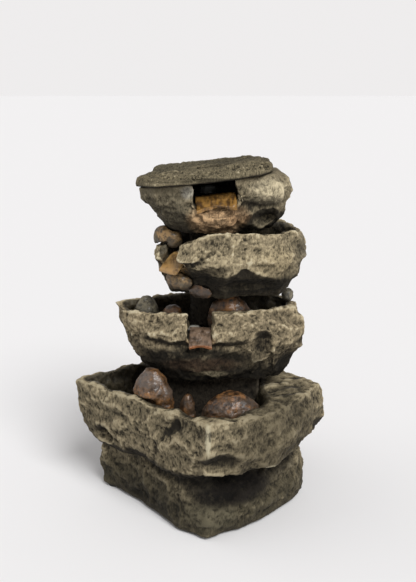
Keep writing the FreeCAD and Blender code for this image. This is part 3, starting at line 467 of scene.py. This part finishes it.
# Dark paint for the hollows; painted shade on what faces down, in given spots, deepest in given spots, and
# inside the pools; a pale dry brush; dirt and painted shade on the stones; dirt on the lips.
WASH = (0.013, 0.011, 0.008)
PAINTED_UNDERSIDE_SHADE = (0.014, 0.011, 0.007)
SHADE = (0.016, 0.013, 0.008)
DEEP_SHADE = (0.008, 0.006, 0.004)
PAINTED_POOL_SHADE = (0.020, 0.017, 0.011)
DRY_BRUSH = (0.60, 0.53, 0.365)
STONE_DIRT = (0.02, 0.013, 0.008)
STONE_SHADE = (0.02, 0.014, 0.009)
LIP_DIRT = (0.03, 0.018, 0.008)


def toned(color, share):
    """A colour made darker or paler by a share."""
    return tuple(c * share for c in color)


def rock_finish(name, tint, stains_and_shade=(), brush=1.0, lift=0.0, grain=3.9):
    """Cast rock: a speckled mid tone, a dark wash in the hollows, a pale dry brush on the edges, painted
    shade on what faces down and inside the pools, and stains and spots of painted shade and painted light.
    """
    def paint(tree, at):
        broad = tree.noise(at, 38 * MM, 4.0)[0]
        fibres = tree.noise(at * (1.0, 1.0, 0.4), 1.05 * MM, 2.0, 0.7)[0]
        speckle = tree.noise(at * (1.0, 1.0, 0.7) + (0.4, 0.2, 0.7), 1.4 * MM, 4.0, 0.8)[0]
        edge = attribute(tree, "edge")
        ridge = attribute(tree, "ridge")
        under = attribute(tree, "under")
        wet_and_shade = attribute(tree, "wet_and_shade")
        height = fibres * 0.55 + speckle * 0.45
        # The tone is lower on what faces down: painted shade.
        tone = ((height - 0.5) * grain + edge * 1.0 + ridge * 0.24 + ridge.ramp(0.35, 1.3) * 0.45
                + (broad - 0.5) * 1.5 - under * 0.5 + lift)
        color = tree.mix(tone.ramp(-0.7, 0.15), toned(tint, 0.32), tint)
        color = tree.mix(tone.ramp(0.0, 0.9), color, toned(tint, 1.85))
        color = tree.mix(tone.ramp(-0.5, -1.1) * 0.85, color, WASH)
        color = tree.mix((tone + broad * 0.4).ramp(0.95, 1.7) * (0.8 * brush), color, DRY_BRUSH)
        # Painted shade on what faces down
        color = tree.mix(under.ramp(0.0, 0.55) * 0.95 * (0.7 + broad * 0.5), color, PAINTED_UNDERSIDE_SHADE)
        # Stains, and spots of painted shade and painted light, laid over the painted shade on what faces down
        blotch = tree.noise(at, 7 * MM)[0].ramp(0.2, 0.5, 0.5, 1.0)
        for centre, radii, stain_and_shade, strength in stains_and_shade:
            mask = spot(at, centre, radii) * blotch * strength
            speckled = tree.mix(tone.ramp(-0.8, 0.9), toned(stain_and_shade, 0.4), toned(stain_and_shade, 1.35))
            color = tree.mix(mask, color, speckled)
        # Painted shade inside the pools, which are glossier too
        color = tree.mix(wet_and_shade * 0.82, color, PAINTED_POOL_SHADE)
        rough = tone.ramp(0, 1.2, 0.88, 0.78) - wet_and_shade * 0.5
        return {"Base Color": color, "Roughness": rough, "Normal": bump(tree, height, 1.3)}
    return finish(name, paint, **{"Specular IOR Level": 0.22})


def stone_finish(name, deep, mid, bright, patch, patch_share, smoothest=0.3):
    """A river stone: mottled browns, veins of rust, grey patches, and a film of water."""
    def paint(tree, at):
        broad = tree.noise(at, 17 * MM, 4.0, 0.6)[0]
        mottle = tree.noise(at + (0.3, 0.1, 0.5), 5.0 * MM, 5.0, 0.7)[0]
        fine = tree.noise(at, 1.7 * MM, 3.0, 0.7)[0]
        under = attribute(tree, "under")
        edge = attribute(tree, "edge")
        color = tree.mix(mottle.ramp(0.38, 0.58), deep, mid)
        color = tree.mix((broad * 0.55 + mottle * 0.5).ramp(0.52, 0.66) * 0.9, color, bright)
        color = tree.mix((1 - broad).ramp(0.5, 0.6) * patch_share, color, patch)
        color = tree.mix(fine.ramp(0.44, 0.32) * 0.8, color, STONE_DIRT)
        color = tree.mix(edge.ramp(0.1, 0.7) * 0.35, color, bright)
        color = tree.mix(under * 0.8, color, STONE_SHADE)
        return {"Base Color": color, "Roughness": mottle.ramp(0.3, 0.7, smoothest, smoothest + 0.25),
                "Normal": bump(tree, mottle * 0.6 + fine * 0.4, 0.9)}
    return finish(name, paint, **{"Coat Weight": 0.3, "Coat Roughness": 0.15})


def lip_finish(name, color_deep, color_mid, front_edge, edge_place):
    """A water-stained lip: streaked down its run, mineral on its front edge."""
    def paint(tree, at):
        streak = tree.noise(at * (1.0, 0.35, 0.35), 2.2 * MM, 4.0, 0.65)[0]
        cloud = tree.noise(at, 6 * MM, 4.0, 0.6)[0]
        color = tree.mix((streak * 0.5 + cloud * 0.5).ramp(0.4, 0.6), color_deep, color_mid)
        color = tree.mix(spot(at, *edge_place) * 0.85, color, front_edge)
        color = tree.mix(cloud.ramp(0.42, 0.3) * 0.5, color, LIP_DIRT)
        return {"Base Color": color, "Roughness": cloud.ramp(0.3, 0.7, 0.32, 0.55),
                "Normal": bump(tree, streak * 0.5 + cloud * 0.5, 0.7)}
    return finish(name, paint, **{"Coat Weight": 0.25, "Coat Roughness": 0.2})


def moulded_finish(name, color, roughness, grain=0.6, depth=0.04, **constants):
    """Moulded plastic or rubber: a fine grain and slight wear in its gloss."""
    def paint(tree, at):
        fine = tree.noise(at, grain * MM, 3.0, 0.6)[0]
        cloud = tree.noise(at, 9 * MM, 3.0)[0]
        worn = tree.mix(cloud.ramp(0.35, 0.65), toned(color, 0.8), color)
        return {"Base Color": worn, "Roughness": cloud.ramp(0.3, 0.7, roughness - 0.06, roughness + 0.08),
                "Normal": bump(tree, fine, depth)}
    return finish(name, paint, **constants)


# --------------------------------------------------------------------------------------------------------
# Rock pieces. Each spot, a stain or painted shade or painted light, is its centre, its radii, its colour and
# its strength. A comment in a list holds until the next one.
# --------------------------------------------------------------------------------------------------------
BASIN_STAINS_AND_SHADE = [
    ((0, -20, 4), (180, 170, 44), (0.040, 0.034, 0.020), 0.9),  # the foot, darker towards the bottom
    ((66, -62, 68), (70, 60, 50), (0.076, 0.062, 0.037), 0.8),  # the right face
    ((13, -92, 20), (40, 26, 18), (0.090, 0.079, 0.050), 0.7),  # the foot's front corner
    ((7, -93, 86), (3, 10, 17), (0.40, 0.36, 0.25), 0.8),  # the pale corner ridge
    ((56, -70, 52), (8, 8, 3), (0.36, 0.32, 0.22), 0.7),  # the scar's pale edge
    ((33, -72, 36), (54, 40, 17), SHADE, 1.0),  # painted shade in the undercut, from its middle outwards, and in the hollows round it
    ((30, -72, 35), (46, 36, 15), DEEP_SHADE, 1.0),
    ((0, -72, 42), (34, 26, 9), SHADE, 0.85),
    ((-38, -55, 44), (26, 24, 12), SHADE, 0.75),
    ((18, -92, 63), (22, 16, 9), SHADE, 0.7),
    ((70, -40, 40), (28, 30, 12), SHADE, 0.85),
    ((-50, -40, 12), (60, 40, 14), SHADE, 0.6),
]
BASIN_STROKES = [
    line([(6, -92, 98), (6, -93, 88), (8, -92, 75)], 1.8, 2.0),  # the corner ridge
    line([(-19, -71, 97), (-19, -72, 88), (-30, -63, 75), (-35, -59, 68), (-36, -56, 58),
          (-35, -53, 46)], 2.0, -3.6),  # the long crack of the left face, and its branch
    line([(-19, -72, 86), (-10, -78, 80), (-4, -83, 74)], 1.8, -1.8),
    push((18, -92, 62), (25, 16, 12), (-2, 9, 0)),  # the hollow under the corner
    push((32, -76, 40), (34, 22, 12), (-3, 15, 3)),  # the undercut, in front and at the left
    push((-50, -42, 44), (34, 22, 8), (4, 5, 0)),
    push((-81, -14, 53), (11, 11, 9), (9, 7, 3)),
    push((13, -84, 20), (40, 26, 16), (0, -3.5, 0)),  # the foot's swell, in front and at the left
    push((-79, -4, 27), (14, 24, 14), (-5, -2, 0)),
    push((-82, 2, 1), (18, 16, 12), (-5, -1, 0)),  # the foot's skirts over its pads
    push((7, -84, 1), (18, 14, 12), (0, -5, 0)),
    push((74, -55, 72), (24, 22, 20), (4, -3, 0)),  # the right face
    push((92, -12, 60), (14, 18, 14), (-6, 2, 0)),
    push((60, -4, 88), (22, 48, 36), (-13, 0, 0)),  # the pool's right wall, out to a wide ledge
    line([(58, -70, 60), (61, -68, 54), (55, -71, 49), (43, -78, 54)], 1.7, 3.0),  # the scar
    line([(42, -82, 97), (53, -78, 80), (47, -79, 62)], 4.0, -3.5),
    line([(57, -24, 98), (68, -14, 98), (79, -13, 98)], 1.6, -3.4),  # cracks across the ledge
    line([(58, -34, 98), (72, -29, 98), (82, -25, 98)], 1.5, -3.0),
    line([(60, 8, 98), (72, 4, 98), (84, 8, 98)], 1.7, -3.0),
]
PUMP_WELL = ((7, 17, 44), (37, 32, 24))
weathered("basin", 1.6, rock_finish("basin rock", (0.168, 0.138, 0.085), BASIN_STAINS_AND_SHADE, brush=0.45, grain=3.9),
          1, BASIN_STROKES, pool=(0, 5, 98), calm=PUMP_WELL, fold_depth=15, lump_depth=1.9)

LOWER_STAINS_AND_SHADE = [
    ((-5, -33, 128), (72, 28, 11), SHADE, 1.0),  # painted shade on the underside
    ((5, -30, 110), (85, 44, 17), SHADE, 1.0),
    ((50, -35, 138), (11, 12, 12), SHADE, 0.95),  # painted shade in the hole at the right, and on the side past it
    ((76, -20, 114), (26, 32, 16), SHADE, 0.9),
    ((1, -33, 122), (40, 20, 8), (0.055, 0.032, 0.018), 0.55),  # brown and pale patches under the lip
    ((8, -32, 114), (18, 10, 4), (0.26, 0.22, 0.14), 0.7),
    ((1, -37, 143), (14, 8, 7), (0.28, 0.15, 0.06), 0.6),
    ((-30, 4, 152), (34, 30, 16), (0.11, 0.066, 0.026), 0.8),  # the brown inside
]
LOWER_STROKES = [
    push((50, -35, 140), (11, 12, 13), (0, 9, 2)),  # the hole at the right
    line([(45, -38, 150), (53, -34, 136), (57, -28, 124)], 2.8, -4.0),
    line([(58, -31, 140), (60, -28, 127), (59, -24, 117)], 1.5, 3.0),
    line([(-14, -31, 121), (4, -32, 116), (16, -28, 107)], 2.2, 3.4),  # the root under the lip
    line([(-56, -28, 142), (-23, -37, 137), (1, -38, 136), (30, -38, 137),
          (45, -38, 141)], 3.4, -5.0),  # the groove along the front, under the rim
    line([(-63, -18, 160), (-50, -27, 160), (-38, -32, 161)], 1.6, -2.6),  # the rim's left end
    push((-70, -4, 140), (16, 18, 14), (5, 3, 0)),  # the two ends
    push((82, -16, 150), (14, 16, 16), (3, -2, 0)),
]
weathered("lower_bowl", 1.2, rock_finish("lower rock", (0.208, 0.168, 0.104), LOWER_STAINS_AND_SHADE),
          2, LOWER_STROKES, pool=(10, 6, 165))

MIDDLE_STAINS_AND_SHADE = [
    ((-15, -25, 204), (16, 16, 18), (0.30, 0.19, 0.08), 0.75),  # rust beside the lip
    ((58, -40, 205), (22, 15, 15), (0.36, 0.29, 0.17), 0.5),  # the pale front facet
    ((42, -42, 187), (52, 26, 12), SHADE, 0.95),  # painted shade on the underside
    ((-2, -36, 190), (24, 18, 12), SHADE, 0.8),
    ((86, -20, 212), (16, 22, 26), (0.10, 0.086, 0.058), 0.75),  # the right end
]
MIDDLE_STROKES = [
    line([(-14, -41, 201), (0, -48, 206), (4, -49, 212), (15, -49, 218)], 1.9, -3.8),  # the long crack
    line([(16, -46, 191), (24, -48, 197), (34, -49, 204), (46, -46, 198),
          (61, -40, 191)], 2.4, 2.6),  # the arch, and the hollow under it
    push((38, -44, 188), (34, 15, 9), (0, 7, 1)),
    line([(31, -46, 231), (39, -47, 219), (47, -47, 212)], 1.7, -3.0),  # the front face
    line([(20, -47, 230), (27, -48, 218), (23, -48, 207)], 2.8, 2.2),
    push((44, -48, 217), (6, 6, 5), (0, 3.5, 0)),
    line([(68, -38, 230), (72, -37, 214), (68, -38, 199)], 2.2, 2.0),
    push((80, -30, 214), (12, 14, 20), (-3, 3, 0)),
    push((52, -46, 208), (16, 10, 12), (0, -2, 0)),
    push((4, -48, 228), (46, 14, 14), (0, 0, 4.5)),  # the raised front rim
]
weathered("middle_bowl", 1.1, rock_finish("middle rock", (0.240, 0.197, 0.122), MIDDLE_STAINS_AND_SHADE, lift=0.06),
          3, MIDDLE_STROKES, pool=(25, -2, 228))

# The cap rests on the upper bowl along this tilted plane, and neither one crosses it
TILT = math.radians(6.4)
BED = (-math.sin(TILT), 0, math.cos(TILT))
UNDER_BED = (math.sin(TILT), 0, -math.cos(TILT))
BED_HEIGHT = 266 * math.cos(TILT) - 7 * math.sin(TILT)
BED_GAP = 0.1  # the cap keeps this far above it

UPPER_STAINS_AND_SHADE = [
    ((-32, -30, 248), (36, 26, 28), (0.115, 0.098, 0.064), 0.8),  # the shaded left face
    ((13, -35, 237), (26, 24, 18), (0.48, 0.315, 0.17), 1.0),  # the pink boulder under the lip: its own pink, with painted light over the lip's shade
    ((31, -34, 241), (13, 12, 10), (0.24, 0.14, 0.07), 0.6),
    ((58, -30, 259), (26, 20, 13), (0.49, 0.42, 0.28), 0.85),  # painted highlight on the right lobe
    ((54, -26, 236), (15, 14, 9), SHADE, 0.95),  # painted shade in the hollow under it
    ((46, -34, 245.5), (16, 8, 3.5), SHADE, 0.8),
    ((-8, -38, 259), (9, 8, 7), (0.24, 0.24, 0.22), 0.5),  # a grey patch beside the spillway
]
UPPER_STROKES = [
    push((7, 24, 267), (120, 44, 12), (0, 0, 4.5)),  # the rear rim, up to the bed
    push((54, -30, 257), (24, 15, 13), (2, -3.5, 0)),  # the right lobe, and the hollow under it
    line([(35, -34, 247), (46, -33, 245), (62, -26, 247)], 2.4, -5.0),
    push((54, -27, 237), (14, 12, 9), (-2, 10, 2)),
    push((13, -35, 237), (22, 14, 13), (0, -7, 0)),  # the boulder, and a crack at each side of it
    line([(-8, -37, 249), (0, -37, 240), (6, -33, 229)], 2.0, -3.0),
    line([(32, -35, 249), (32, -34, 238), (24, -29, 229)], 2.0, -3.0),
    push((-38, -26, 244), (14, 12, 10), (3, 2, 0)),  # the left face
]
weathered("upper_bowl", 1.0, rock_finish("upper rock", (0.196, 0.163, 0.103), UPPER_STAINS_AND_SHADE),
          4, UPPER_STROKES, pool=(13, 1, 264), bed=(BED, BED_HEIGHT))

CAP_STAINS_AND_SHADE = [
    ((-30, -6, 274), (38, 20, 8), (0.095, 0.083, 0.054), 0.8),  # the top, at the left and right
    ((14, 2, 281), (54, 26, 8), (0.085, 0.073, 0.046), 0.85),
    ((2, -20, 277), (50, 4, 5), SHADE, 0.6),  # painted shade in the step behind the front layer
    ((-2, -43, 268), (60, 5, 3), SHADE, 0.75),  # painted shade under the front edge
]
CAP_STROKES = [
    line([(-48, -20, 265), (-30, -36, 268), (-3, -40, 271), (30, -40, 276),
          (50, -31, 278)], 1.2, -2.0),  # the split along the front edge
    push((8, 31, 272), (64, 26, 16), (0, 6.5, 0)),  # the rear edge, out over the bowl's rim
    push((52, -26, 279), (7, 8, 6), (-4, 4, -3)),  # chips in the front edge
    push((-30, -34, 270), (12, 8, 6), (1, 3, 0)),
    push((12, -40, 273), (10, 7, 6), (0, 2.5, 0)),
    push((-14, -33, 274), (56, 18, 12), (0, 0, -5.0)),  # the low front layer, and the step behind it
    push((-20, 4, 275), (34, 22, 9), (0, 0, 2.5)),
    push((-2, -43, 268), (8, 7, 6), (0, 4, 1)),
    line([(-46, 2, 271), (-24, -13, 273), (0, -19, 276), (26, -24, 279)], 1.8, -4.0),
    line([(2, -10, 280), (12, -9, 281), (26, -12, 282)], 1.4, -2.4),  # cracks in the top
    line([(-30, 5, 276), (-16, 10, 278), (2, 8, 280)], 1.3, -2.0),
]
weathered("cap_slab", 0.8, rock_finish("cap rock", (0.138, 0.115, 0.070), CAP_STAINS_AND_SHADE, grain=5.6),
          5, CAP_STROKES, body="cap", bed=(UNDER_BED, -BED_HEIGHT - BED_GAP), fold_depth=7, layer_size=7,
          layer_depth=1.3, lump_depth=1.6, crack_depth=0.9)

# The pedestal and necks stand in the shade behind the stones: their rock is painted nearly black as painted
# shade, and their faces only ever recede
shaded_rock = rock_finish("shaded rock", (0.024, 0.019, 0.013), brush=0.1)
weathered("pedestal", 1.3, shaded_rock, 6, fold_depth=1, lump_depth=0.8, layer_depth=0.8, most_proud=-0.05,
          edge_wear=0.3, crack_depth=0.7)
for seed, neck_node in enumerate(("lower_neck", "middle_neck", "upper_collar"), start=7):
    weathered(neck_node, 1.0, shaded_rock, seed, fold_depth=0.8, lump_depth=0.6, layer_depth=0.6,
              most_proud=0.0, edge_wear=0.3, crack_depth=0.5)

# --------------------------------------------------------------------------------------------------------
# River stones
# --------------------------------------------------------------------------------------------------------
brown = stone_finish("brown stone", deep=(0.042, 0.022, 0.010), mid=(0.15, 0.075, 0.028),
                     bright=(0.36, 0.165, 0.052), patch=(0.125, 0.103, 0.088), patch_share=0.6)
dark_brown = stone_finish("dark brown stone", deep=(0.028, 0.015, 0.008), mid=(0.10, 0.05, 0.020),
                          bright=(0.29, 0.13, 0.040), patch=(0.06, 0.046, 0.032), patch_share=0.5)
tan = stone_finish("tan stone", deep=(0.050, 0.033, 0.015), mid=(0.18, 0.118, 0.054),
                   bright=(0.36, 0.22, 0.09), patch=(0.10, 0.088, 0.058), patch_share=0.75, smoothest=0.5)
grey = stone_finish("grey stone", deep=(0.05, 0.045, 0.034), mid=(0.13, 0.115, 0.08),
                    bright=(0.22, 0.19, 0.12), patch=(0.08, 0.07, 0.05), patch_share=0.5, smoothest=0.5)
STONES = {
    "basin_stone_left": (brown, "brown_stone"), "basin_stone_small": (dark_brown, "brown_stone"),
    "basin_stone_right": (dark_brown, "brown_stone"), "perch_stone_centre": (dark_brown, "brown_stone"),
    "perch_stone_flat": (dark_brown, "brown_stone"), "perch_stone_grey": (grey, "grey_stone"),
    "perch_stone_end": (grey, "grey_stone"), "tuck_stone_high": (tan, "tan_stone"),
    "tuck_stone_low": (dark_brown, "brown_stone"), "tan_stone": (tan, "tan_stone"),
}
for seed, (stone_node, (stone_look, stone_slot)) in enumerate(STONES.items(), start=11):
    weathered(stone_node, 0.8, stone_look, seed, slot=stone_slot, edge_wear=1.0, fold_size=20, fold_depth=2.5,
              chip_slope=0.08, chip_size=12, lump_size=7, lump_depth=1.0, layer_depth=0.5, crack_depth=0.6,
              pit_depth=0.4)

# --------------------------------------------------------------------------------------------------------
# Spill lips
# --------------------------------------------------------------------------------------------------------
def spill_lip(node, seed, deep, mid, front_edge, edge_place, strokes=()):
    """A thin ledge that the water runs over, smoother than the rock round it."""
    look = lip_finish(node.replace("_", " "), deep, mid, front_edge, edge_place)
    weathered(node, 0.5, look, seed, strokes, slot="stained_lip", edge_wear=0.6, fold_depth=0.8,
              chip_slope=0.03, lump_size=5, lump_depth=0.5, layer_depth=0.3, crack_depth=0.2,
              pit_depth=0.25, most_proud=0.4)


spill_lip("upper_spill_lip", 31, (0.075, 0.036, 0.010), (0.30, 0.155, 0.032), (0.44, 0.235, 0.058),
          ((14, -42, 248), (20, 4, 3)), [push((13, -46, 244), (26, 14, 10), (0, 7, 6))])
spill_lip("middle_spill_lip", 32, (0.16, 0.09, 0.03), (0.36, 0.22, 0.08), (0.42, 0.24, 0.08),
          ((-24, -33, 200), (12, 12, 5)))
spill_lip("lower_spill_lip", 33, (0.07, 0.045, 0.028), (0.19, 0.125, 0.080), (0.30, 0.105, 0.030),
          ((1, -41, 139), (14, 4, 3)), [push((1, -44, 137), (14, 9, 6), (0, 3, 3))])

# --------------------------------------------------------------------------------------------------------
# The working parts keep their CAD shapes and take a finish each
# --------------------------------------------------------------------------------------------------------
WORKING_PARTS = {
    ("rear_panel",): rock_finish("panel rock", (0.15, 0.137, 0.10)),
    ("pump_housing", "pump_volute", "pump_end_cap"):
        moulded_finish("pump plastic", (0.022, 0.023, 0.025), 0.42),
    ("intake_strainer",): moulded_finish("intake plastic", (0.035, 0.036, 0.038), 0.5),
    ("flow_dial",): moulded_finish("dial plastic", (0.30, 0.31, 0.31), 0.4),
    ("pump_stator",): moulded_finish("potting", (0.030, 0.024, 0.018), 0.25, grain=3.0, depth=0.1),
    ("rotor_shaft",): moulded_finish("shaft ceramic", (0.75, 0.74, 0.70), 0.2),
    ("front_bush", "rear_bush"): moulded_finish("bush rubber", (0.03, 0.03, 0.03), 0.75),
    ("rotor_magnet",): moulded_finish("magnet ferrite", (0.060, 0.058, 0.060), 0.5),
    ("impeller",): moulded_finish("impeller plastic", (0.62, 0.63, 0.62), 0.35),
    ("foot_pads", "pump_feet", "cord_grommet", "pump_gland"):
        moulded_finish("soft rubber", (0.025, 0.025, 0.026), 0.8, depth=0.08),
    ("riser_tube",): moulded_finish("clear vinyl", (0.62, 0.64, 0.62), 0.18,
                                    **{"Transmission Weight": 0.6, "IOR": 1.45}),
    ("upper_light_housing", "middle_light_housing", "lower_light_housing"):
        moulded_finish("light plastic", (0.03, 0.03, 0.032), 0.35),
    ("upper_light_board", "middle_light_board", "lower_light_board"):
        moulded_finish("light board", (0.02, 0.11, 0.045), 0.45),
    ("upper_light_lens", "middle_light_lens", "lower_light_lens"):
        moulded_finish("light lens", (0.75, 0.72, 0.62), 0.12, **{"Transmission Weight": 0.5, "IOR": 1.49}),
    ("upper_light_lead", "middle_light_lead", "lower_light_lead", "pump_lead"):
        moulded_finish("lead jacket", (0.018, 0.018, 0.019), 0.55),
    ("lead_splitter",): moulded_finish("splitter plastic", (0.04, 0.04, 0.043), 0.5),
}
for nodes, look in WORKING_PARTS.items():
    for node_name in nodes:
        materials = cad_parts[node_name].data.materials
        materials.clear()
        materials.append(look)

# --------------------------------------------------------------------------------------------------------
# The floor, a disc of one pale finish
# --------------------------------------------------------------------------------------------------------
floor_mesh = bpy.data.meshes.new("floor")
disc = bmesh.new()
bmesh.ops.create_circle(disc, cap_ends=True, segments=64, radius=FLOOR_RADIUS)
disc.to_mesh(floor_mesh)
disc.free()
floor = new_object("floor", floor_mesh)
floor.data.materials.append(finish("pale floor", lambda tree, at: {}, **{
    "Base Color": (0.838, 0.832, 0.835, 1), "Roughness": 0.95, "Specular IOR Level": 0.0}))
